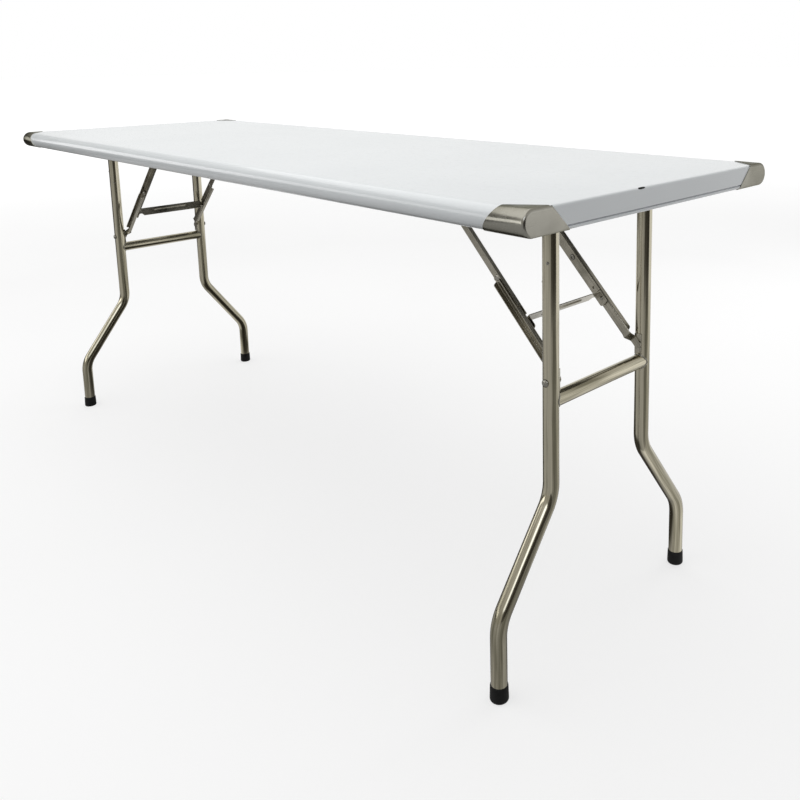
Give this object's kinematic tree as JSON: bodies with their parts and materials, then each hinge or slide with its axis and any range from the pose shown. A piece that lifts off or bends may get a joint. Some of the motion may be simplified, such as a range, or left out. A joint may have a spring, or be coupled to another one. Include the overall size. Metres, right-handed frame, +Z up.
{
  "type": "folding worktable",
  "caption": "Long folding worktable: bullnosed sheet-metal top with capped corners, bent-tube leg frames, locking toggle braces and rubber feet.",
  "frame": {"origin": "on the floor, under the centre of the table top", "axes": "+X along the top towards the near end, +Y across it towards the back edge, +Z up"},
  "size_m": [1.829, 0.61, 0.762],
  "materials": {
    "top_sheet": "pale satin",
    "cap": "satin stainless",
    "galvanised": "galvanised",
    "bracket": "plain pressed steel",
    "pin": "turned steel",
    "tube": "polished stainless tube",
    "link": "pressed stainless strip",
    "rubber": "moulded black rubber"
  },
  "bodies": {
    "top": {"top_sheet": "top_sheet", "rail_back": "galvanised", "rail_front": "galvanised", "rail_centre": "galvanised", "corner_cap_near_back": "cap", "corner_cap_near_front": "cap", "hinge_bracket_near_back": "bracket", "hinge_bracket_near_front": "bracket", "hinge_pin_near_back": "pin", "hinge_pin_near_front": "pin", "brace_bracket_near_back": "bracket", "brace_bracket_near_front": "bracket", "brace_pin_near_back": "pin", "brace_pin_near_front": "pin", "corner_cap_far_back": "cap", "corner_cap_far_front": "cap", "hinge_bracket_far_back": "bracket", "hinge_bracket_far_front": "bracket", "hinge_pin_far_back": "pin", "hinge_pin_far_front": "pin", "brace_bracket_far_back": "bracket", "brace_bracket_far_front": "bracket", "brace_pin_far_back": "pin", "brace_pin_far_front": "pin"},
    "near_leg_frame": {"leg_near_back": "tube", "leg_near_front": "tube", "foot_near_back": "rubber", "foot_near_front": "rubber", "leg_saddle_near_back": "link", "leg_saddle_near_front": "link", "brace_bolt_near_back": "pin", "brace_bolt_near_front": "pin", "leg_crossbar_near": "tube"},
    "near_upper_links": {"upper_link_near_back": "link", "upper_link_near_front": "link", "knuckle_rivet_near_back": "pin", "knuckle_rivet_near_front": "pin"},
    "near_lower_links": {"lower_link_near_back": "link", "lower_link_near_front": "link", "brace_tie_near": "link"},
    "far_leg_frame": {"leg_far_back": "tube", "leg_far_front": "tube", "foot_far_back": "rubber", "foot_far_front": "rubber", "leg_saddle_far_back": "link", "leg_saddle_far_front": "link", "brace_bolt_far_back": "pin", "brace_bolt_far_front": "pin", "leg_crossbar_far": "tube"},
    "far_upper_links": {"upper_link_far_back": "link", "upper_link_far_front": "link", "knuckle_rivet_far_back": "pin", "knuckle_rivet_far_front": "pin"},
    "far_lower_links": {"lower_link_far_back": "link", "lower_link_far_front": "link", "brace_tie_far": "link"}
  },
  "joints": [
    {"name": "near_leg_fold", "type": "hinge", "parent": "top", "child": "near_leg_frame", "pos_m": [0.797, 0, 0.72], "axis": [0, 1, 0], "range_deg": [0, 90]},
    {"name": "near_upper_brace_fold", "type": "hinge", "parent": "top", "child": "near_upper_links", "pos_m": [0.519, 0, 0.741], "axis": [0, -1, 0], "range_deg": [0, 44]},
    {"name": "near_knuckle_fold", "type": "hinge", "parent": "near_upper_links", "child": "near_lower_links", "pos_m": [0.66515, 0, 0.59485], "axis": [0, 1, 0], "range_deg": [0, 173.65]},
    {"name": "far_leg_fold", "type": "hinge", "parent": "top", "child": "far_leg_frame", "pos_m": [-0.797, 0, 0.72], "axis": [0, -1, 0], "range_deg": [0, 90]},
    {"name": "far_upper_brace_fold", "type": "hinge", "parent": "top", "child": "far_upper_links", "pos_m": [-0.519, 0, 0.741], "axis": [0, 1, 0], "range_deg": [0, 44]},
    {"name": "far_knuckle_fold", "type": "hinge", "parent": "far_upper_links", "child": "far_lower_links", "pos_m": [-0.66515, 0, 0.59485], "axis": [0, -1, 0], "range_deg": [0, 173.65]}
  ],
  "couplings": [
    {"joint": "near_upper_brace_fold", "follows": "near_leg_fold", "ratio": 0.48888},
    {"joint": "near_knuckle_fold", "follows": "near_leg_fold", "ratio": 1.9294},
    {"joint": "far_upper_brace_fold", "follows": "far_leg_fold", "ratio": 0.48888},
    {"joint": "far_knuckle_fold", "follows": "far_leg_fold", "ratio": 1.9294}
  ]
}
